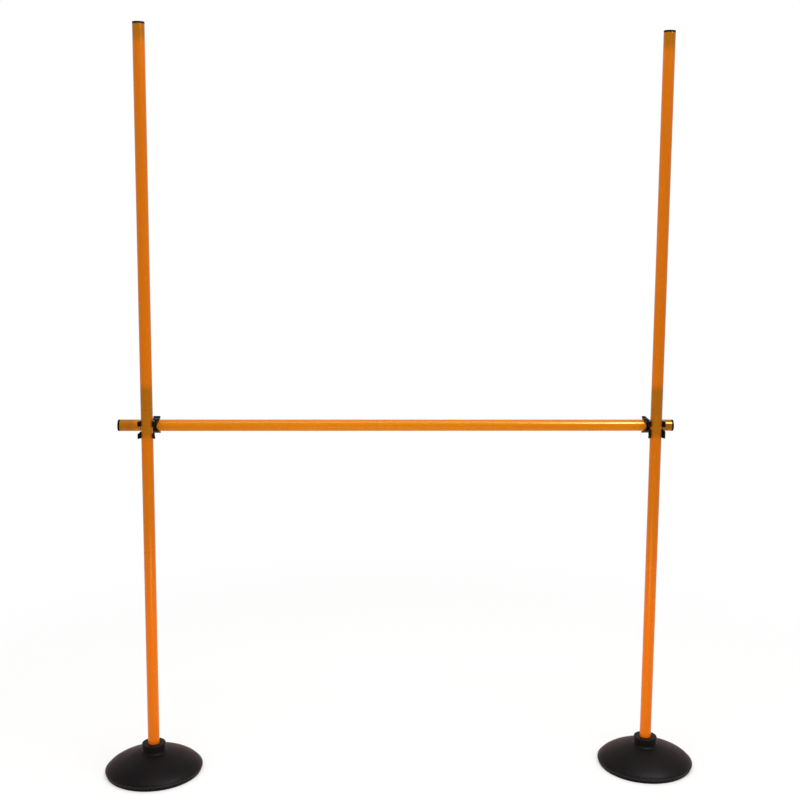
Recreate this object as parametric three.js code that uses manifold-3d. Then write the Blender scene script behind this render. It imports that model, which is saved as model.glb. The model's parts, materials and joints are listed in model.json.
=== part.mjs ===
// A jumping hurdle for dog agility training: two weighted rubber bases, a two-part tube post in each,
// and a cross bar that snaps to the posts with one-piece plastic clips.
// Millimetres, +Z up. The origin is on the floor, midway between the posts. +Y is the bar's side.

import * as THREE from 'three';
import { mergeVertices } from 'three/addons/utils/BufferGeometryUtils.js';
import Module from 'manifold-3d';

const wasm = await Module();
wasm.setup();

// Driving dimensions

const postSpacing = 1090; // between the axes of the posts
const tubeRadius = 12.5;
const tubeWall = 1.5;
const lowerTubeLength = 791.4;
const upperTubeLength = 791.4;

const barPastLeftPost = 66; // from the left post's axis to the bar's left end face
const barPastRightPost = 44;
const barHeight = 764; // the bar's axis above the floor

const capThickness = 4;
const capEdge = 0.8; // the bevel round a cap's face
const plugLength = 20;
const plugWall = 1.6;

const spigotWall = 1.8;
const spigotBelowSeam = 75;
const spigotAboveSeam = 38;

const baseRadius = 105; // at the rim's upper edge
const rimHeight = 8.5;
const rimUndercut = 3; // how far the rim draws in down to the floor
const rimStep = 1.2; // how far the dome starts inside the rim
const domeHeight = 44.5; // where the dome meets the collar
const domeReach = 1.2; // how evenly the dome falls from the collar, 1 is a straight fall
const domeShoulder = 0.8; // how steeply it turns down at the rim, 1 is no turn
const collarRadius = 25.4;
const collarHeight = 63; // the collar's top above the floor
const collarEdge = 1.5;
const socketFloor = 8; // rubber under the post's foot

const jawWall = 3;
const jawWrap = 116; // degrees that a jaw's arm reaches round from the back
const lipLength = 8;
const lipSpread = 65; // degrees that a lip turns away from its tube
const postJawTop = 15; // above the bar's axis
const postJawBottom = 22; // below it
const fingerGap = 3; // between the upper and lower fingers where they leave the jaw
const fingerTaper = 0.35; // how fast that gap opens outwards
const barJawHalfWidth = 22;
const barJawWaist = 17.5; // half its width at the bar's axis
const waistRadius = 16;
const hornGap = 9; // half the gap between the horns over the bar
const hornValley = 3; // the lowest point of that gap, above the bar's axis

const seatGap = 0.3; // left between faces that touch
const plugFit = 0.3; // radial, a plug or spigot in its tube
const socketFit = 0.5; // radial, a post in its base
const jawFit = 0.4; // radial, a tube in a jaw

const roundSides = 48;
const domeSides = 60;
const domeSteps = 8;
const jawArcSteps = 28;

// Sizes that follow

const tubeBore = tubeRadius - tubeWall;
const plugRadius = tubeBore - plugFit;
const jawBore = tubeRadius + jawFit;
const jawOuter = jawBore + jawWall;
const barBehindPost = jawBore + jawWall + jawBore; // one wall lies between the two tubes
const barTubeLength = barPastLeftPost + postSpacing + barPastRightPost - 2 * (capThickness + seatGap);
const footZ = socketFloor + seatGap;
const lowerTubeZ = footZ + capThickness + seatGap;
const seamZ = lowerTubeZ + lowerTubeLength;
const topCapZ = seamZ + seatGap + upperTubeLength;
const cutterReach = 4 * jawOuter;

const orange = { color: 0xe07a08, roughness: 0.35, metalness: 0 };
const blackRubber = { color: 0x1c1a1c, roughness: 0.75, metalness: 0 };
const blackPlastic = { color: 0x161617, roughness: 0.45, metalness: 0 };

// Solids

function toSolid(geometry) {
  const bare = geometry.clone();
  bare.deleteAttribute('normal');
  bare.deleteAttribute('uv');
  const merged = mergeVertices(bare, 1e-4);
  const mesh = new wasm.Mesh({
    numProp: 3,
    vertProperties: new Float32Array(merged.attributes.position.array),
    triVerts: new Uint32Array(merged.index.array),
  });
  return new wasm.Manifold(mesh);
}

function toGeometry(solid) {
  const { vertProperties, triVerts } = solid.getMesh();
  const geometry = new THREE.BufferGeometry();
  geometry.setAttribute('position', new THREE.BufferAttribute(vertProperties, 3));
  geometry.setIndex(new THREE.BufferAttribute(triVerts, 1));
  geometry.computeVertexNormals();
  return geometry;
}

// Turned about +Z from [radius, height] points, which run counter-clockwise and close on themselves.
function turned(points, sides = roundSides) {
  const profile = points.map(([radius, height]) => new THREE.Vector2(radius, height));
  profile.push(profile[0].clone());
  return new THREE.LatheGeometry(profile, sides).rotateX(Math.PI / 2);
}

function ring(innerRadius, outerRadius, low, high) {
  return turned([[innerRadius, low], [outerRadius, low], [outerRadius, high], [innerRadius, high]]);
}

function outlineOf(points) {
  return new THREE.Shape(points.map(([x, y]) => new THREE.Vector2(x, y)));
}

// An outline pushed along +Z, centred on z = 0.
function pushed(outline, length) {
  const settings = { depth: length, bevelEnabled: false, curveSegments: jawArcSteps };
  return new THREE.ExtrudeGeometry(outline, settings).translate(0, 0, -length / 2);
}

function named(name, geometry, material) {
  const mesh = new THREE.Mesh(geometry, new THREE.MeshStandardMaterial(material));
  mesh.name = name;
  return mesh;
}

// Tubes and what closes or joins them

function tube(name, length) {
  return named(name, ring(tubeBore, tubeRadius, 0, length), orange);
}

// z = 0 is the tube's end. The face is above it, and the plug hangs below.
function cap(name) {
  const profile = [
    [0, seatGap],
    [plugRadius - plugWall, seatGap],
    [plugRadius - plugWall, -plugLength],
    [plugRadius, -plugLength],
    [plugRadius, seatGap],
    [tubeRadius, seatGap],
    [tubeRadius, seatGap + capThickness - capEdge],
    [tubeRadius - capEdge, seatGap + capThickness],
    [0, seatGap + capThickness],
  ];
  return named(name, turned(profile), blackPlastic);
}

function spigot(name) {
  const sleeve = ring(plugRadius - spigotWall, plugRadius, -spigotBelowSeam, spigotAboveSeam);
  return named(name, sleeve, blackPlastic);
}

// The base

function domePoints() {
  const foot = baseRadius - rimStep;
  const points = [];
  for (let step = 0; step <= domeSteps; step += 1) {
    const across = 1 - (step / domeSteps) ** 2;
    const rise = (1 - across ** domeReach) ** domeShoulder;
    const radius = collarRadius + across * (foot - collarRadius);
    points.push([radius, rimHeight + rise * (domeHeight - rimHeight)]);
  }
  return points;
}

function base(name) {
  const socketRadius = tubeRadius + socketFit;
  const profile = [
    [0, 0],
    [baseRadius - rimUndercut, 0],
    [baseRadius, rimHeight],
    ...domePoints(),
    [collarRadius, collarHeight - collarEdge],
    [collarRadius - collarEdge, collarHeight],
    [socketRadius, collarHeight],
    [socketRadius, socketFloor],
    [0, socketFloor],
  ];
  return named(name, turned(profile, domeSides), blackRubber);
}

// The clip. Its post jaw stands on the post's axis and opens to -Y. Its bar jaw lies behind it along the
// bar and opens to +Y. The clip's own origin is on the post's axis, level with the bar's.

// A jaw's outline round the origin, open to -Y: a wall round the tube that ends in two lips.
function jawOutline() {
  const end = THREE.MathUtils.degToRad(90 + jawWrap);
  const lipTurn = end + THREE.MathUtils.degToRad(90 - lipSpread);
  const along = new THREE.Vector2(Math.cos(lipTurn), Math.sin(lipTurn));
  const outwards = new THREE.Vector2(along.y, -along.x);
  const root = new THREE.Vector2(Math.cos(end), Math.sin(end)).multiplyScalar(jawBore);
  const tipInside = root.addScaledVector(along, lipLength);
  const tipOutside = tipInside.clone().addScaledVector(outwards, jawWall);
  const outline = new THREE.Shape();
  outline.absarc(0, 0, jawOuter, Math.PI - end, end, false);
  outline.lineTo(tipOutside.x, tipOutside.y);
  outline.lineTo(tipInside.x, tipInside.y);
  outline.absarc(0, 0, jawBore, end, Math.PI - end, true);
  outline.lineTo(-tipInside.x, tipInside.y);
  outline.lineTo(-tipOutside.x, tipOutside.y);
  return outline;
}

// Cutters seen from the front are outlines in X and Z, pushed right through along Y.
function pushedAlongY(outline) {
  return toSolid(pushed(outline, cutterReach).rotateX(Math.PI / 2));
}

function postJaw() {
  const height = postJawTop + postJawBottom;
  const wall = toSolid(pushed(jawOutline(), height).translate(0, 0, (postJawTop - postJawBottom) / 2));
  const far = cutterReach / 2;
  const open = fingerGap / 2 + far * fingerTaper;
  const gap = outlineOf([
    [0, fingerGap / 2],
    [-far, open],
    [-far, -open],
    [0, -fingerGap / 2],
    [far, -open],
    [far, open],
  ]);
  const gapInFront = pushedAlongY(gap).translate([0, -far, 0]);
  return wall.subtract(gapInFront);
}

function barJaw() {
  const wall = toSolid(pushed(jawOutline(), 2 * barJawHalfWidth).rotateZ(Math.PI).rotateY(Math.PI / 2));
  const valleySide = hornValley + hornGap;
  const valley = outlineOf([
    [0, hornValley],
    [hornGap, valleySide],
    [hornGap, cutterReach],
    [-hornGap, cutterReach],
    [-hornGap, valleySide],
  ]);
  const waistX = barJawWaist + waistRadius;
  const waist = new THREE.CylinderGeometry(waistRadius, waistRadius, cutterReach, roundSides);
  const waists = [-waistX, waistX].map((x) => toSolid(waist.clone().translate(x, 0, 0)));
  const shaped = wall.subtract(pushedAlongY(valley)).subtract(waists[0]).subtract(waists[1]);
  return shaped.translate([0, barBehindPost, 0]);
}

// The assembly

function stand(side, x) {
  const group = new THREE.Group();
  group.position.x = x;

  const footCap = cap(`${side}_foot_cap`);
  footCap.rotation.x = Math.PI;
  footCap.position.z = lowerTubeZ;

  const lowerTube = tube(`${side}_lower_tube`, lowerTubeLength);
  lowerTube.position.z = lowerTubeZ;

  const joiner = spigot(`${side}_spigot`);
  joiner.position.z = seamZ;

  const upperTube = tube(`${side}_upper_tube`, upperTubeLength);
  upperTube.position.z = seamZ + seatGap;

  const topCap = cap(`${side}_top_cap`);
  topCap.position.z = topCapZ;

  group.add(base(`${side}_base`), footCap, lowerTube, joiner, upperTube, topCap);
  return group;
}

function crossBar() {
  const group = new THREE.Group();
  const leftEnd = capThickness + seatGap - barPastLeftPost - postSpacing / 2;
  group.position.set(leftEnd, barBehindPost, barHeight);
  group.rotation.y = Math.PI / 2;

  const leftCap = cap('bar_left_cap');
  leftCap.rotation.x = Math.PI;
  const rightCap = cap('bar_right_cap');
  rightCap.position.z = barTubeLength;

  group.add(tube('bar_tube', barTubeLength), leftCap, rightCap);
  return group;
}

function clips() {
  const group = new THREE.Group();
  const shape = toGeometry(postJaw().add(barJaw()));
  for (const [side, x] of [['left', -postSpacing / 2], ['right', postSpacing / 2]]) {
    const clip = named(`${side}_clip`, shape, blackPlastic);
    clip.position.set(x, 0, barHeight);
    group.add(clip);
  }
  return group;
}

const hurdle = new THREE.Group();
hurdle.add(stand('left', -postSpacing / 2), stand('right', postSpacing / 2), crossBar(), clips());

export default hurdle;
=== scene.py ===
import bpy
import bmesh
import json
import math
from mathutils import Matrix, Vector


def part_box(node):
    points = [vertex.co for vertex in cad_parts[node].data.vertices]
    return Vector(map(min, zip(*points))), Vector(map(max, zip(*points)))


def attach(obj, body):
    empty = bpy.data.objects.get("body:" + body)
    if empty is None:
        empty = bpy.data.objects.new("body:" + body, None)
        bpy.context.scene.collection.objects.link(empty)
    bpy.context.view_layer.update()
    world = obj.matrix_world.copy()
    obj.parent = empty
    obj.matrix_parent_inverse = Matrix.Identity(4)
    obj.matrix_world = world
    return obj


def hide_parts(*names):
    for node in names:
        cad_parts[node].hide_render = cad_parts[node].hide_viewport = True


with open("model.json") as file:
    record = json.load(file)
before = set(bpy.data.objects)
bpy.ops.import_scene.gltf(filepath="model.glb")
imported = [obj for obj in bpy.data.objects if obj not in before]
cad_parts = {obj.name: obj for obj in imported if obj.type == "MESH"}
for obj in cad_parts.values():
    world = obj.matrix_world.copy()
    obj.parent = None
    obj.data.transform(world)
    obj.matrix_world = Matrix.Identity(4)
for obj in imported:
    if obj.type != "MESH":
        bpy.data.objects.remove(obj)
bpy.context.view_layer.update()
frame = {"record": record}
bodies = frame["record"]["behaviour"]["bodies"]
bodyOf = {node: body for body, nodes in bodies.items() for node in nodes}
sides = ("left", "right")


# Pieces are written in millimetres, the stage in metres, and angles in degrees

def mm(value):
    return value / 1000


def toMm(metres):
    return metres * 1000


def hexToLinear(code):
    def channel(value):
        return value / 12.92 if value <= 0.04045 else ((value + 0.055) / 1.055) ** 2.4
    return [channel(int(code[i:i + 2], 16) / 255) for i in (1, 3, 5)] + [1]


def addNode(tree, kind, inputs=None, **settings):
    node = tree.nodes.new(kind)
    for name, value in settings.items():
        setattr(node, name, value)
    for key, value in (inputs or {}).items():
        if isinstance(value, bpy.types.NodeSocket):
            tree.links.new(value, node.inputs[key])
        else:
            node.inputs[key].default_value = value
    return node


def newMesh(name, points, edges=(), faces=()):
    mesh = bpy.data.meshes.new(name)
    mesh.from_pydata(points, edges, faces)
    piece = bpy.data.objects.new(name, mesh)
    bpy.context.scene.collection.objects.link(piece)
    return piece


def bakeModifiers(piece):  # the modifiers' result becomes the piece's own plain mesh
    bpy.context.view_layer.update()
    graph = bpy.context.evaluated_depsgraph_get()
    mesh = bpy.data.meshes.new_from_object(piece.evaluated_get(graph), depsgraph=graph)
    piece.modifiers.clear()
    piece.data = mesh
    mesh.name = piece.name


def finishPiece(piece, node, material):
    piece.data.materials.clear()
    piece.data.materials.append(material)
    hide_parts(node)
    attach(piece, bodyOf[node])


# Materials

def newMaterial(name):
    material = bpy.data.materials.new(name)
    material.use_nodes = True
    tree = material.node_tree
    tree.nodes.clear()
    return material, tree, addNode(tree, "ShaderNodeTexCoord").outputs["Object"]


tubeLook = {
    "bar": ("#d37400", "#d37400"), "post": ("#e26a00", "#cb6600"),  # the colour at either end of its turn; the post's lighter lower end is painted light, bounced up from the floor
    "turn": (330, 600),  # millimetres up the post over which the painted floor bounce gives way to the plain dye
    "streak": 0.95, "cloud": 8,  # the dye dulls to this share in long streaks
    "cloudAcross": 0.25, "cloudAlong": 0.02, "cloudRange": (0.35, 0.65),
    "filledAndShaded": "#a05a00", "paintedShadeFade": 22,  # darker where a black plug or sleeve shows through the wall, with painted shade fading out past its ends
    "lineWidth": 0.9, "lineLength": 90, "lineDepth": 0.016, "lineStrength": 0.4,  # coarser than real ones
    "scuff": 14, "scuffRange": (0.35, 0.75), "roughness": (0.2, 0.3),
    "ior": 1.53, "specular": 0.45, "glint": "#ffc852", "coat": 0.07, "coatRoughness": 0.14,
}


def extrudedPvc(name, dyesWithPaintedBounce, along, filledSpans):
    # Rigid PVC tube: even, strong orange, a tight gloss, and faint lines drawn along it by the die.
    # Its thin wall lets a dark plug or sleeve inside dull the colour, and painted shade carries that dulling
    # a little past the plug's ends. A post is painted lighter towards its foot, as painted light bounced up
    # from the floor.
    look = tubeLook
    material, tree, place = newMaterial(name)
    position = addNode(tree, "ShaderNodeSeparateXYZ", {"Vector": place}).outputs["XYZ"[along]]
    # Painted light: a post turns lighter towards its foot, standing in for light bounced up from the floor
    turn = addNode(tree, "ShaderNodeMapRange", {
        "Value": position, "From Min": mm(look["turn"][0]), "From Max": mm(look["turn"][1])},
        interpolation_type="SMOOTHSTEP")
    dyeWithPaintedBounce = addNode(tree, "ShaderNodeMix", {
        0: turn.outputs["Result"], 6: hexToLinear(dyesWithPaintedBounce[0]), 7: hexToLinear(dyesWithPaintedBounce[1])}, data_type="RGBA")

    wide = [look["cloudAcross"]] * 3
    wide[along] = look["cloudAlong"]
    spread = addNode(tree, "ShaderNodeMapping", {"Vector": place, "Scale": wide})
    cloud = addNode(tree, "ShaderNodeTexNoise", {
        "Vector": spread.outputs["Vector"], "Scale": 1 / mm(look["cloud"]), "Detail": 2})
    low, high = look["cloudRange"]
    uneven = addNode(tree, "ShaderNodeMapRange", {
        "Value": cloud.outputs["Fac"], "From Min": low, "From Max": high,
        "To Min": 1, "To Max": look["streak"]})
    streaked = addNode(tree, "ShaderNodeVectorMath", {
        0: dyeWithPaintedBounce.outputs[2], "Scale": uneven.outputs["Result"]}, operation="SCALE")
    colour = streaked.outputs["Vector"]
    # Each plug or sleeve dulls the wall over it, and painted shade fades the dulling out past both ends
    paintedShadeFade = mm(look["paintedShadeFade"])
    for low, high in filledSpans:
        above = addNode(tree, "ShaderNodeMapRange", {
            "Value": position, "From Min": low - paintedShadeFade, "From Max": low}, interpolation_type="SMOOTHSTEP")
        below = addNode(tree, "ShaderNodeMapRange", {
            "Value": position, "From Min": high, "From Max": high + paintedShadeFade, "To Min": 1, "To Max": 0},
            interpolation_type="SMOOTHSTEP")
        inside = addNode(tree, "ShaderNodeMath", {
            0: above.outputs["Result"], 1: below.outputs["Result"]}, operation="MULTIPLY")
        filledAndShaded = addNode(tree, "ShaderNodeMix", {
            0: inside.outputs[0], 6: colour, 7: hexToLinear(look["filledAndShaded"])}, data_type="RGBA")
        colour = filledAndShaded.outputs[2]

    scuffs = addNode(tree, "ShaderNodeTexNoise", {
        "Vector": place, "Scale": 1 / mm(look["scuff"]), "Detail": 8})
    low, high = look["scuffRange"]
    smooth, rough = look["roughness"]
    gloss = addNode(tree, "ShaderNodeMapRange", {
        "Value": scuffs.outputs["Fac"], "From Min": low, "From Max": high, "To Min": smooth, "To Max": rough})
    stretch = [1, 1, 1]
    stretch[along] = look["lineWidth"] / look["lineLength"]
    drawn = addNode(tree, "ShaderNodeMapping", {"Vector": place, "Scale": stretch})
    lines = addNode(tree, "ShaderNodeTexNoise", {
        "Vector": drawn.outputs["Vector"], "Scale": 1 / mm(look["lineWidth"]), "Detail": 2})
    relief = addNode(tree, "ShaderNodeBump", {
        "Height": lines.outputs["Fac"], "Distance": mm(look["lineDepth"]), "Strength": look["lineStrength"]})
    shader = addNode(tree, "ShaderNodeBsdfPrincipled", {
        "Base Color": colour, "Roughness": gloss.outputs["Result"], "IOR": look["ior"],
        "Specular IOR Level": look["specular"], "Specular Tint": hexToLinear(look["glint"]),
        "Coat Weight": look["coat"], "Coat Roughness": look["coatRoughness"],
        "Normal": relief.outputs["Normal"]})
    addNode(tree, "ShaderNodeOutputMaterial", {"Surface": shader.outputs["BSDF"]})
    return material


rubberLook = {
    "colour": "#070506", "bloom": "#110c0c", "bloomMost": 0.6, "cloud": 34, "cloudRange": (0.4, 0.7),
    "dust": "#35302e", "dustMost": 0.4, "dustFrom": 0.86,  # a share of the base's radius
    "speck": 3.5, "speckRange": (0.5, 0.72),
    "rimRubAndHighlight": "#262325", "rimRubAndHighlightWidth": 3.2, "rimRubAndHighlightDepth": (1.2, 0.4),  # a lighter band along the rim's upper edge, partly rubbing and partly a painted highlight line
    "grain": 0.7, "grainDepth": 0.05, "grainStrength": 0.5,
    "glossRange": (0.3, 0.7), "roughness": (0.45, 0.58), "ior": 1.52, "specular": 0.06,
    "sheen": 0.36, "sheenRoughness": 0.32, "sheenTint": "#b4705a",
}


def mouldedRubber(name, axis, radius, rimHeight):
    # Compression-moulded black rubber: a soft satin skin, finely pebbled, with a faint bloom in clouds, a
    # brownish cast at a low angle from fine dust, more dust near the rim, and a lighter band on the rim's
    # upper edge, partly rubbing and partly a painted highlight line.
    look = rubberLook
    material, tree, place = newMaterial(name)
    cloud = addNode(tree, "ShaderNodeTexNoise", {
        "Vector": place, "Scale": 1 / mm(look["cloud"]), "Detail": 6})
    low, high = look["cloudRange"]
    bloom = addNode(tree, "ShaderNodeMapRange", {
        "Value": cloud.outputs["Fac"], "From Min": low, "From Max": high, "To Max": look["bloomMost"]})
    clouded = addNode(tree, "ShaderNodeMix", {
        0: bloom.outputs["Result"], 6: hexToLinear(look["colour"]), 7: hexToLinear(look["bloom"])},
        data_type="RGBA")

    centred = addNode(tree, "ShaderNodeMapping", {"Vector": place, "Location": -axis, "Scale": (1, 1, 0)})
    distance = addNode(tree, "ShaderNodeVectorMath", {0: centred.outputs["Vector"]}, operation="LENGTH")
    nearRim = addNode(tree, "ShaderNodeMapRange", {
        "Value": distance.outputs["Value"], "From Min": look["dustFrom"] * radius, "From Max": radius},
        interpolation_type="SMOOTHSTEP")
    specks = addNode(tree, "ShaderNodeTexNoise", {
        "Vector": place, "Scale": 1 / mm(look["speck"]), "Detail": 8})
    low, high = look["speckRange"]
    scattered = addNode(tree, "ShaderNodeMapRange", {
        "Value": specks.outputs["Fac"], "From Min": low, "From Max": high, "To Max": look["dustMost"]})
    dusty = addNode(tree, "ShaderNodeMath", {
        0: nearRim.outputs["Result"], 1: scattered.outputs["Result"]}, operation="MULTIPLY")
    dusted = addNode(tree, "ShaderNodeMix", {
        0: dusty.outputs[0], 6: clouded.outputs[2], 7: hexToLinear(look["dust"])}, data_type="RGBA")

    height = addNode(tree, "ShaderNodeSeparateXYZ", {"Vector": place}).outputs["Z"]
    # The rim's upper edge is painted lighter all round: partly rubbing, partly a painted highlight line
    onEdge = addNode(tree, "ShaderNodeMapRange", {
        "Value": distance.outputs["Value"], "From Min": radius - mm(look["rimRubAndHighlightWidth"]),
        "From Max": radius - mm(look["rimRubAndHighlightWidth"] / 2)}, interpolation_type="SMOOTHSTEP")
    deep, shallow = look["rimRubAndHighlightDepth"]
    aboveWall = addNode(tree, "ShaderNodeMapRange", {
        "Value": height, "From Min": rimHeight - mm(deep), "From Max": rimHeight - mm(shallow)},
        interpolation_type="SMOOTHSTEP")
    rubbed = addNode(tree, "ShaderNodeMath", {
        0: onEdge.outputs["Result"], 1: aboveWall.outputs["Result"]}, operation="MULTIPLY")
    colour = addNode(tree, "ShaderNodeMix", {
        0: rubbed.outputs[0], 6: dusted.outputs[2], 7: hexToLinear(look["rimRubAndHighlight"])}, data_type="RGBA")

    low, high = look["glossRange"]
    smooth, rough = look["roughness"]
    gloss = addNode(tree, "ShaderNodeMapRange", {
        "Value": cloud.outputs["Fac"], "From Min": low, "From Max": high, "To Min": smooth, "To Max": rough})
    grain = addNode(tree, "ShaderNodeTexNoise", {
        "Vector": place, "Scale": 1 / mm(look["grain"]), "Detail": 2})
    relief = addNode(tree, "ShaderNodeBump", {
        "Height": grain.outputs["Fac"], "Distance": mm(look["grainDepth"]),
        "Strength": look["grainStrength"]})
    shader = addNode(tree, "ShaderNodeBsdfPrincipled", {
        "Base Color": colour.outputs[2], "Roughness": gloss.outputs["Result"], "IOR": look["ior"],
        "Specular IOR Level": look["specular"], "Sheen Weight": look["sheen"],
        "Sheen Roughness": look["sheenRoughness"], "Sheen Tint": hexToLinear(look["sheenTint"]),
        "Normal": relief.outputs["Normal"]})
    addNode(tree, "ShaderNodeOutputMaterial", {"Surface": shader.outputs["BSDF"]})
    return material


blackSkin = {  # what the black plastics have in common
    "patch": 5, "patchRange": (0.5, 0.75), "patchMost": 0.6, "scuff": 2, "scuffRange": (0.3, 0.7),
    "skinStrength": 0.5,
}


def blackPlastic(name, ownLook):
    # Black plastic with a slight orange-peel skin, lighter in small rubbed patches.
    look = {**blackSkin, **ownLook}
    material, tree, place = newMaterial(name)
    patches = addNode(tree, "ShaderNodeTexNoise", {
        "Vector": place, "Scale": 1 / mm(look["patch"]), "Detail": 6})
    low, high = look["patchRange"]
    rubbed = addNode(tree, "ShaderNodeMapRange", {
        "Value": patches.outputs["Fac"], "From Min": low, "From Max": high, "To Max": look["patchMost"]})
    colour = addNode(tree, "ShaderNodeMix", {
        0: rubbed.outputs["Result"], 6: hexToLinear(look["colour"]), 7: hexToLinear(look["worn"])},
        data_type="RGBA")
    scuffs = addNode(tree, "ShaderNodeTexNoise", {
        "Vector": place, "Scale": 1 / mm(look["scuff"]), "Detail": 5})
    low, high = look["scuffRange"]
    smooth, rough = look["roughness"]
    gloss = addNode(tree, "ShaderNodeMapRange", {
        "Value": scuffs.outputs["Fac"], "From Min": low, "From Max": high, "To Min": smooth, "To Max": rough})
    skin = addNode(tree, "ShaderNodeTexNoise", {"Vector": place, "Scale": 1 / mm(look["skin"]), "Detail": 2})
    relief = addNode(tree, "ShaderNodeBump", {
        "Height": skin.outputs["Fac"], "Distance": mm(look["skinDepth"]), "Strength": look["skinStrength"]})
    shader = addNode(tree, "ShaderNodeBsdfPrincipled", {
        "Base Color": colour.outputs[2], "Roughness": gloss.outputs["Result"], "IOR": look["ior"],
        "Specular IOR Level": look["specular"], "Normal": relief.outputs["Normal"]})
    addNode(tree, "ShaderNodeOutputMaterial", {"Surface": shader.outputs["BSDF"]})
    return material


def zSpan(node):
    low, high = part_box(node)
    return low.z, high.z


def xSpan(node):
    low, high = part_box(node)
    return low.x, high.x


# Turned pieces: a half section, written as corners of (radius, height, rounding), swept round an axis

cornerArc = {"lead": 0.15, "degreesPerStep": 18, "fewestSteps": 3}  # the lead is a share of the rounding


def softCorners(corners, closed):  # a rounded corner becomes an arc, with a point just before and after it
    points = []
    count = len(corners)
    for i, (radius, height, rounding) in enumerate(corners):
        here = Vector((radius, height))
        if rounding == 0 or (not closed and i in (0, count - 1)):
            points.append(here)
            continue
        before = (Vector(corners[i - 1][:2]) - here).normalized()
        after = (Vector(corners[(i + 1) % count][:2]) - here).normalized()
        half = before.angle(after) / 2
        reach = rounding / math.tan(half)
        centre = here + (before + after).normalized() * rounding / math.sin(half)
        start, end = here + before * reach, here + after * reach
        lead = rounding * cornerArc["lead"]
        points.append(start + before * lead)
        bend = math.degrees(math.pi - 2 * half)
        steps = max(cornerArc["fewestSteps"], round(bend / cornerArc["degreesPerStep"]))
        for step in range(steps + 1):
            points.append(centre + rounding * (start - centre).slerp(end - centre, step / steps))
        points.append(end + after * lead)
    return points


def buildTurnedTree():
    poleGap = mm(0.002)  # points this close at a pole become one
    tree = bpy.data.node_groups.new("turnedPiece", "GeometryNodeTree")
    for name, kind in (("Half Section", "Geometry"), ("Sides", "Int"), ("Rail Radius", "Float"),
                       ("Material", "Material")):
        tree.interface.new_socket(name, in_out="INPUT", socket_type="NodeSocket" + kind)
    tree.interface.new_socket("Piece", in_out="OUTPUT", socket_type="NodeSocketGeometry")
    given = addNode(tree, "NodeGroupInput").outputs
    section = addNode(tree, "GeometryNodeMeshToCurve", {"Mesh": given["Half Section"]})
    rail = addNode(tree, "GeometryNodeCurvePrimitiveCircle", {
        "Resolution": given["Sides"], "Radius": given["Rail Radius"]})
    swept = addNode(tree, "GeometryNodeCurveToMesh", {
        "Curve": rail.outputs["Curve"], "Profile Curve": section.outputs["Curve"]})
    merged = addNode(tree, "GeometryNodeMergeByDistance", {
        "Geometry": swept.outputs["Mesh"], "Distance": poleGap})
    smooth = addNode(tree, "GeometryNodeSetShadeSmooth", {"Geometry": merged.outputs["Geometry"]})
    whole = addNode(tree, "GeometryNodeRealizeInstances", {"Geometry": smooth.outputs["Geometry"]})
    painted = addNode(tree, "GeometryNodeSetMaterial", {
        "Geometry": whole.outputs["Geometry"], "Material": given["Material"]})
    addNode(tree, "NodeGroupOutput", {"Piece": painted.outputs["Geometry"]})
    return tree


turnedTree = buildTurnedTree()
turnedInputs = {item.name: item.identifier for item in turnedTree.interface.items_tree
                if item.item_type == "SOCKET" and item.in_out == "INPUT"}


def turned(name, corners, place, material, closed=False, sideCount=96):
    railRadius = mm(5)
    points = [(mm(point.x) - railRadius, -mm(point.y), 0) for point in softCorners(corners, closed)]
    edges = [(i, i + 1) for i in range(len(points) - 1)]
    if closed:
        edges.append((len(points) - 1, 0))
    piece = newMesh(name, points, edges)
    modifier = piece.modifiers.new("turned", "NODES")
    modifier.node_group = turnedTree
    modifier[turnedInputs["Sides"]] = sideCount
    modifier[turnedInputs["Rail Radius"]] = railRadius
    modifier[turnedInputs["Material"]] = material
    bakeModifiers(piece)
    work = bmesh.new()
    work.from_mesh(piece.data)
    bmesh.ops.recalc_face_normals(work, faces=work.faces)
    bmesh.ops.transform(work, matrix=place, verts=work.verts)
    work.to_mesh(piece.data)
    work.free()
    return piece


def alongZ(x, z, upsideDown=False):
    turn = Matrix.Rotation(math.pi, 4, "X") if upsideDown else Matrix.Identity(4)
    return Matrix.Translation((x, 0, z)) @ turn


def alongX(x, y, z, towardsLeft=False):
    turn = Matrix.Rotation(math.radians(-90 if towardsLeft else 90), 4, "Y")
    return Matrix.Translation((x, y, z)) @ turn


def postX(side):
    low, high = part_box(f"{side}_lower_tube")
    return (low.x + high.x) / 2


barLow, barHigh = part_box("bar_tube")
barY, barZ = (barLow.y + barHigh.y) / 2, (barLow.z + barHigh.z) / 2
tubeRadius = toMm(barHigh.y - barLow.y) / 2


# Sleeves, one inside each post's seam. The lower end is drawn in, so it slips into its tube

sleeveShape = {"radius": 10.7, "wall": 1.8, "edge": 0.5, "lowerEdge": 0.3, "taper": 28, "drawnIn": 0.9}
sleeveLook = {  # extruded rigid PVC, cut to length
    "colour": "#0f0f0f", "worn": "#1e1e1e", "skin": 0.6, "skinDepth": 0.02,
    "roughness": (0.33, 0.46), "ior": 1.53, "specular": 0.3,
}
sleevePlastic = blackPlastic("extrudedPvcBlack", sleeveLook)
for side in sides:
    node = f"{side}_spigot"
    low, high = zSpan(node)
    length = toMm(high - low)
    outer, edge, lowerEdge = sleeveShape["radius"], sleeveShape["edge"], sleeveShape["lowerEdge"]
    inner = outer - sleeveShape["wall"]
    section = [
        (inner, 0, lowerEdge), (outer - sleeveShape["drawnIn"], 0, lowerEdge),
        (outer, sleeveShape["taper"], 0), (outer, length, edge), (inner, length, edge),
    ]
    piece = turned(f"{side}Sleeve", section, alongZ(postX(side), low), sleevePlastic, closed=True)
    finishPiece(piece, node, sleevePlastic)
print("sleeves made")


# Tubes

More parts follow.
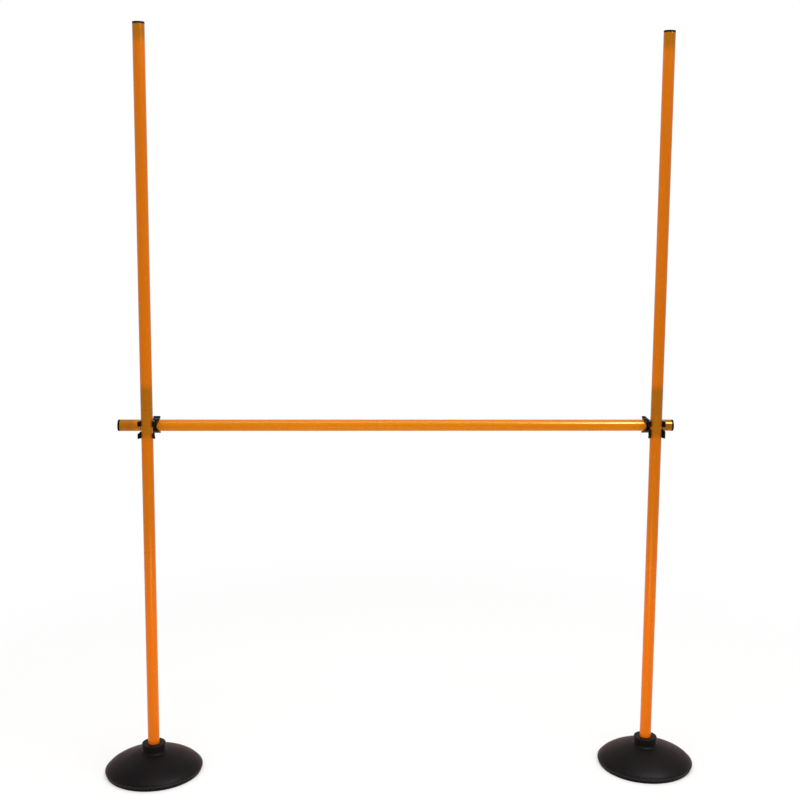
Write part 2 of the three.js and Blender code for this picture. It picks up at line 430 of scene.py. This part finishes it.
tubeShape = {"wall": 1.5, "edge": 0.45}
sleeveLow, sleeveHigh = zSpan("left_spigot")
snugPart = sleeveLow + mm(sleeveShape["taper"]), sleeveHigh
filledInPost = [zSpan("left_foot_cap"), snugPart, zSpan("left_top_cap")]
filledInBar = [xSpan("bar_left_cap"), xSpan("bar_right_cap")]
postPlastic = extrudedPvc("extrudedPvcPost", tubeLook["post"], 2, filledInPost)
barPlastic = extrudedPvc("extrudedPvcBar", tubeLook["bar"], 0, filledInBar)


def tube(name, length, place, material):
    inner = tubeRadius - tubeShape["wall"]
    edge = tubeShape["edge"]
    section = [(inner, 0, edge), (tubeRadius, 0, edge), (tubeRadius, length, edge), (inner, length, edge)]
    return turned(name, section, place, material, closed=True)


for side in sides:
    for part in ("lower", "upper"):
        node = f"{side}_{part}_tube"
        low, high = zSpan(node)
        piece = tube(f"{side}{part.title()}Tube", toMm(high - low), alongZ(postX(side), low), postPlastic)
        finishPiece(piece, node, postPlastic)
piece = tube("barTube", toMm(barHigh.x - barLow.x), alongX(barLow.x, barY, barZ), barPlastic)
finishPiece(piece, "bar_tube", barPlastic)
print("tubes made")


# Caps

capShape = {
    "face": 4, "seat": 0.3, "plug": 20, "plugRadius": 10.7, "plugWall": 1.6, "edge": 0.9,
    "dish": 0.5, "dishRadius": 8.6, "dishSide": 0.6, "dishEdge": 0.4,
    "boreEdge": 0.5, "mouthEdge": 0.4, "plugEdge": 0.6, "seatEdge": 0.2, "underEdge": 0.3,
}
capLook = {  # moulded polythene, softer and duller than the clips
    "colour": "#070708", "worn": "#141414", "skin": 0.8, "skinDepth": 0.04,
    "roughness": (0.33, 0.46), "ior": 1.51, "specular": 0.07,
}
capPlastic = blackPlastic("mouldedPolytheneBlack", capLook)


def cap(name, place):
    shape = capShape
    seat, plug, plugRadius = shape["seat"], shape["plug"], shape["plugRadius"]
    top = seat + shape["face"]
    dish = top - shape["dish"]
    bore = plugRadius - shape["plugWall"]
    section = [
        (0, seat, 0), (bore, seat, shape["boreEdge"]), (bore, -plug, shape["mouthEdge"]),
        (plugRadius, -plug, shape["plugEdge"]), (plugRadius, seat, shape["seatEdge"]),
        (tubeRadius, seat, shape["underEdge"]), (tubeRadius, top, shape["edge"]),
        (shape["dishRadius"], top, shape["dishEdge"]),
        (shape["dishRadius"] - shape["dishSide"], dish, shape["dishEdge"]), (0, dish, 0),
    ]
    return turned(name, section, place, capPlastic)


caps = {}
for side in sides:
    x = postX(side)
    caps[f"{side}_foot_cap"] = f"{side}FootCap", alongZ(x, zSpan(f"{side}_lower_tube")[0], upsideDown=True)
    caps[f"{side}_top_cap"] = f"{side}TopCap", alongZ(x, zSpan(f"{side}_upper_tube")[1])
caps["bar_left_cap"] = "barLeftCap", alongX(barLow.x, barY, barZ, towardsLeft=True)
caps["bar_right_cap"] = "barRightCap", alongX(barHigh.x, barY, barZ)
for node, (name, place) in caps.items():
    finishPiece(cap(name, place), node, capPlastic)
print("caps made")


# Bases

baseLow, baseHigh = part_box("left_base")
baseShape = {
    "radius": toMm(baseHigh.x - baseLow.x) / 2, "height": toMm(baseHigh.z - baseLow.z),
    "rimHeight": 8.5, "undercut": 3, "footEdge": 1, "rimEdge": 0.8,
    "ledge": 2.2, "ledgeRise": 0.3, "ledgeEdge": 1, "ledgeClear": 1.5,
    "domeHeight": 44.5, "domeReach": 1.25, "domeShoulder": 0.68, "domeSteps": 36,
    "collarRadius": 25.4, "collarFillet": 5, "filletClear": 6, "collarEdge": 1.6,
    "socketRadius": 13.0, "socketMouth": 0.7, "socketFloor": 8, "socketEdge": 0.5,
    "grooves": (60, 72, 84),  # rings pressed into the underside for grip
    "grooveWidth": 4, "grooveDepth": 0.9, "grooveEdge": 0.3,
}


def baseSection(shape):
    section = [(0, 0, 0)]
    reach, depth, edge = shape["grooveWidth"] / 2, shape["grooveDepth"], shape["grooveEdge"]
    for radius in shape["grooves"]:
        section += [(radius - reach, 0, edge), (radius - reach, depth, edge),
                    (radius + reach, depth, edge), (radius + reach, 0, edge)]

    rim, collar = shape["radius"], shape["collarRadius"]
    foot, rise = rim - shape["ledge"], shape["rimHeight"] + shape["ledgeRise"]
    section += [(rim - shape["undercut"], 0, shape["footEdge"]), (rim, shape["rimHeight"], shape["rimEdge"]),
                (foot, rise, shape["ledgeEdge"])]
    for step in range(1, shape["domeSteps"]):
        across = 1 - (step / shape["domeSteps"]) ** 2
        share = (1 - across ** shape["domeReach"]) ** shape["domeShoulder"]
        radius = collar + across * (foot - collar)
        if collar + shape["filletClear"] < radius < foot - shape["ledgeClear"]:
            section.append((radius, rise + share * (shape["domeHeight"] - rise), 0))
    section += [
        (collar, shape["domeHeight"], shape["collarFillet"]),
        (collar, shape["height"], shape["collarEdge"]),
        (shape["socketRadius"], shape["height"], shape["socketMouth"]),
        (shape["socketRadius"], shape["socketFloor"], shape["socketEdge"]),
        (0, shape["socketFloor"], 0),
    ]
    return section


for side in sides:
    node = f"{side}_base"
    axis = Vector((postX(side), 0, 0))
    rubber = mouldedRubber(f"mouldedRubber{side.title()}", axis, mm(baseShape["radius"]),
                           mm(baseShape["rimHeight"]))
    piece = turned(f"{side}Base", baseSection(baseShape), alongZ(axis.x, 0), rubber, sideCount=144)
    finishPiece(piece, node, rubber)
print("bases made")


# Clips: two jaws back to back. The post jaw opens to -Y, the bar jaw behind it to +Y

clipShape = {
    "bore": 12.9, "wall": 3, "wrap": 116, "lipLength": 8, "lipSpread": 65, "arcSteps": 72,
    "top": 15, "bottom": 22, "waist": 17.5, "waistRadius": 16,
    "gapBack": 10,  # the gap between the fingers ends this far behind the post's axis
    "cutterReach": 60, "voxel": 0.42, "smoothing": 8, "smoothShare": 0.5, "keep": 0.4,
}
clipTrim = {  # each clip's own width along the bar, the gap between its fingers, and what is cut over the bar
    "left": {
        "reach": (-16.5, 22),
        "fingerGap": [(0, 2.5), (-12, 4), (-60, 4), (-60, -45), (-20, -14.5), (-18, -11.5), (-15, -9),
                      (-12, -8), (12, -11), (15, -12), (18, -15), (60, -45), (60, 3), (12, 2.5)],
        "valley": [(0, 4), (9.2, 9.5), (9.2, 12), (6.8, 13.2), (6.8, 60), (-9, 60), (-9, 9)],
    },
    "right": {
        "reach": (-22.5, 17.5),
        "fingerGap": [(0, 2.3), (-60, 2.3), (-60, -45), (-21, -9), (-17, -5), (-12, -3.5), (0, -3),
                      (12, -3), (15, -3.5), (18.5, -6.5), (21, -12), (60, -45), (60, 2.3)],
        "valley": [(-3, 5), (-6.5, 9.5), (-9, 12), (-12, 16), (-15.5, 18.5), (-15.5, 60), (9, 60), (9, 9)],
    },
}
clipLook = {  # moulded nylon, tough and slightly glossy
    "colour": "#050506", "worn": "#121214", "skin": 1.2, "skinDepth": 0.03,
    "roughness": (0.23, 0.36), "ior": 1.53, "specular": 0.09,
}
clipPlastic = blackPlastic("mouldedNylonBlack", clipLook)


def prism(name, outline, low, high, turn):  # an outline in X and Y, pushed along Z and then turned
    count = len(outline)
    points = [turn @ Vector((x, y, z)) for z in (low, high) for x, y in outline]
    faces = [tuple(range(count))[::-1], tuple(range(count, 2 * count))]
    faces += [(i, (i + 1) % count, (i + 1) % count + count, i + count) for i in range(count)]
    piece = newMesh(name, [tuple(point) for point in points], faces=faces)
    work = bmesh.new()
    work.from_mesh(piece.data)
    bmesh.ops.recalc_face_normals(work, faces=work.faces)
    work.to_mesh(piece.data)
    work.free()
    return piece


def onCircle(radius, degrees):
    turn = math.radians(degrees)
    return Vector((radius * math.cos(turn), radius * math.sin(turn)))


def jawOutline(shape):
    bore, wall, arcSteps = shape["bore"], shape["wall"], shape["arcSteps"]
    end = 90 + shape["wrap"]
    start = 180 - end
    along = onCircle(1, end + 90 - shape["lipSpread"])
    inside = onCircle(bore, end) + along * shape["lipLength"]
    outside = inside + Vector((along.y, -along.x)) * wall
    turns = [start + (end - start) * step / arcSteps for step in range(arcSteps + 1)]
    outline = [onCircle(bore + wall, turn) for turn in turns]
    outline += [outside, inside]
    outline += [onCircle(bore, turn) for turn in reversed(turns)]
    outline += [Vector((-inside.x, inside.y)), Vector((-outside.x, outside.y))]
    return outline


def boolean(piece, other, operation):
    modifier = piece.modifiers.new(operation, "BOOLEAN")
    modifier.operation = operation
    modifier.solver = "EXACT"
    modifier.object = other
    bakeModifiers(piece)
    bpy.data.objects.remove(other)


def clip(name, place, trim):
    shape = clipShape
    far = shape["cutterReach"]
    upright = Matrix.Identity(3)
    fromFront = Matrix.Rotation(math.radians(90), 3, "X")  # an outline's Y becomes Z
    jaw = prism(name, jawOutline(shape), -shape["bottom"], shape["top"], upright)
    boolean(jaw, prism("gap", trim["fingerGap"], -shape["gapBack"], far, fromFront), "DIFFERENCE")

    alongBar = Matrix.Rotation(math.radians(90), 3, "Y") @ Matrix.Rotation(math.pi, 3, "Z")
    barJaw = prism("barJaw", jawOutline(shape), *trim["reach"], alongBar)
    boolean(barJaw, prism("valley", trim["valley"], -far, far, fromFront), "DIFFERENCE")
    for sign in (-1, 1):
        centre = sign * (shape["waist"] + shape["waistRadius"])
        turns = [math.tau * step / shape["arcSteps"] for step in range(shape["arcSteps"])]
        circle = [(centre + shape["waistRadius"] * math.cos(turn), shape["waistRadius"] * math.sin(turn))
                  for turn in turns]
        boolean(barJaw, prism("waist", circle, -far, far, fromFront), "DIFFERENCE")
    barJaw.data.transform(Matrix.Translation((0, 2 * shape["bore"] + shape["wall"], 0)))
    boolean(jaw, barJaw, "UNION")

    remesh = jaw.modifiers.new("remesh", "REMESH")
    remesh.mode = "VOXEL"
    remesh.voxel_size = shape["voxel"]
    remesh.use_smooth_shade = True
    smooth = jaw.modifiers.new("smooth", "SMOOTH")
    smooth.factor = shape["smoothShare"]
    smooth.iterations = shape["smoothing"]
    thin = jaw.modifiers.new("thin", "DECIMATE")
    thin.ratio = shape["keep"]
    bakeModifiers(jaw)
    jaw.data.transform(place @ Matrix.Scale(mm(1), 4))
    return jaw


for side in sides:
    node = f"{side}_clip"
    piece = clip(f"{side}Clip", Matrix.Translation((postX(side), 0, barZ)), clipTrim[side])
    finishPiece(piece, node, clipPlastic)
print("clips made")


# Floor, light and camera

stageLook = {
    "paint": "#fbfbfa", "roughness": 0.9, "halfSize": 15, "clearFrom": 0.75, "clearBy": 1.8, "lift": 0.35,
}


def paleFloor():
    # Painted studio floor: matt and even. It takes the shadow, and further off it clears to plain white.
    material, tree, place = newMaterial("mattPaintFloor")
    paint = addNode(tree, "ShaderNodeBsdfPrincipled", {
        "Base Color": hexToLinear(stageLook["paint"]), "Roughness": stageLook["roughness"]})
    distance = addNode(tree, "ShaderNodeVectorMath", {0: place}, operation="LENGTH")
    clear = addNode(tree, "ShaderNodeMapRange", {
        "Value": distance.outputs["Value"], "From Min": stageLook["clearFrom"],
        "From Max": stageLook["clearBy"], "To Min": stageLook["lift"]}, interpolation_type="SMOOTHSTEP")
    path = addNode(tree, "ShaderNodeLightPath")
    share = addNode(tree, "ShaderNodeMath", {
        0: clear.outputs["Result"], 1: path.outputs["Is Camera Ray"]}, operation="MULTIPLY")
    white = addNode(tree, "ShaderNodeEmission", {"Strength": 1})
    mixed = addNode(tree, "ShaderNodeMixShader", {
        "Fac": share.outputs[0], 1: paint.outputs["BSDF"], 2: white.outputs["Emission"]})
    addNode(tree, "ShaderNodeOutputMaterial", {"Surface": mixed.outputs["Shader"]})
    return material


half = stageLook["halfSize"]
floor = newMesh("floor", [(-half, -half, 0), (half, -half, 0), (half, half, 0), (-half, half, 0)],
                faces=[(0, 1, 2, 3)])
floor.data.materials.append(paleFloor())

worldLook = {"fill": 0.74}  # how strongly the surroundings light things, while they look plain white
world = bpy.data.worlds.new("studio")
bpy.context.scene.world = world
world.use_nodes = True
worldTree = world.node_tree
worldTree.nodes.clear()
path = addNode(worldTree, "ShaderNodeLightPath").outputs
seen = addNode(worldTree, "ShaderNodeMath", {0: path["Is Camera Ray"], 1: path["Is Glossy Ray"]},
               operation="MAXIMUM")
plain = addNode(worldTree, "ShaderNodeMath", {0: seen.outputs[0], 1: path["Is Transmission Ray"]},
                operation="MAXIMUM")
strength = addNode(worldTree, "ShaderNodeMapRange", {
    "Value": plain.outputs[0], "To Min": worldLook["fill"], "To Max": 1})
sky = addNode(worldTree, "ShaderNodeBackground", {
    "Color": (1, 1, 1, 1), "Strength": strength.outputs["Result"]})
addNode(worldTree, "ShaderNodeOutputWorld", {"Surface": sky.outputs["Background"]})

lamps = {
    "overheadSoftbox": {"at": (0.1, -0.7, 3.4), "aim": (0, 0, 0.6), "size": (2.4, 1.6), "power": 46},
    "highRightStrip": {"at": (1.15, -1.15, 2.5), "aim": (0.6, 0, 0.76), "size": (0.8, 0.4), "power": 125,
                       "glossOnly": True},  # draws the bright line along the bar
    "lowFrontSoftbox": {"at": (0, -0.95, 0.12), "aim": (0, 0, 0.3), "size": (0.7, 0.2), "power": 1.6},
}
for name, lamp in lamps.items():
    light = bpy.data.lights.new(name, "AREA")
    light.shape = "RECTANGLE"
    light.size, light.size_y = lamp["size"]
    light.energy = lamp["power"]
    holder = bpy.data.objects.new(name, light)
    bpy.context.scene.collection.objects.link(holder)
    holder.visible_camera = False
    holder.visible_diffuse = not lamp.get("glossOnly", False)
    holder.location = lamp["at"]
    holder.rotation_euler = (Vector(lamp["aim"]) - Vector(lamp["at"])).to_track_quat("-Z", "Y").to_euler()

view = {"at": (-0.086, -2.5, 1.232), "turn": 2.91, "tilt": -7.48, "roll": 0.52, "lens": 53.4, "sensor": 36,
        "shift": (-0.03, -0.046)}
camera = bpy.data.objects.new("camera", bpy.data.cameras.new("camera"))
bpy.context.scene.collection.objects.link(camera)
camera.data.sensor_width = view["sensor"]
camera.data.lens = view["lens"]
camera.data.shift_x, camera.data.shift_y = view["shift"]
heading = Matrix.Rotation(math.radians(-view["turn"]), 4, "Z")
pitch = Matrix.Rotation(math.radians(90 + view["tilt"]), 4, "X")
roll = Matrix.Rotation(math.radians(view["roll"]), 4, "Z")
camera.matrix_world = Matrix.Translation(view["at"]) @ heading @ pitch @ roll
bpy.context.scene.camera = camera
bpy.context.scene.view_settings.view_transform = "Standard"
print("stage set")
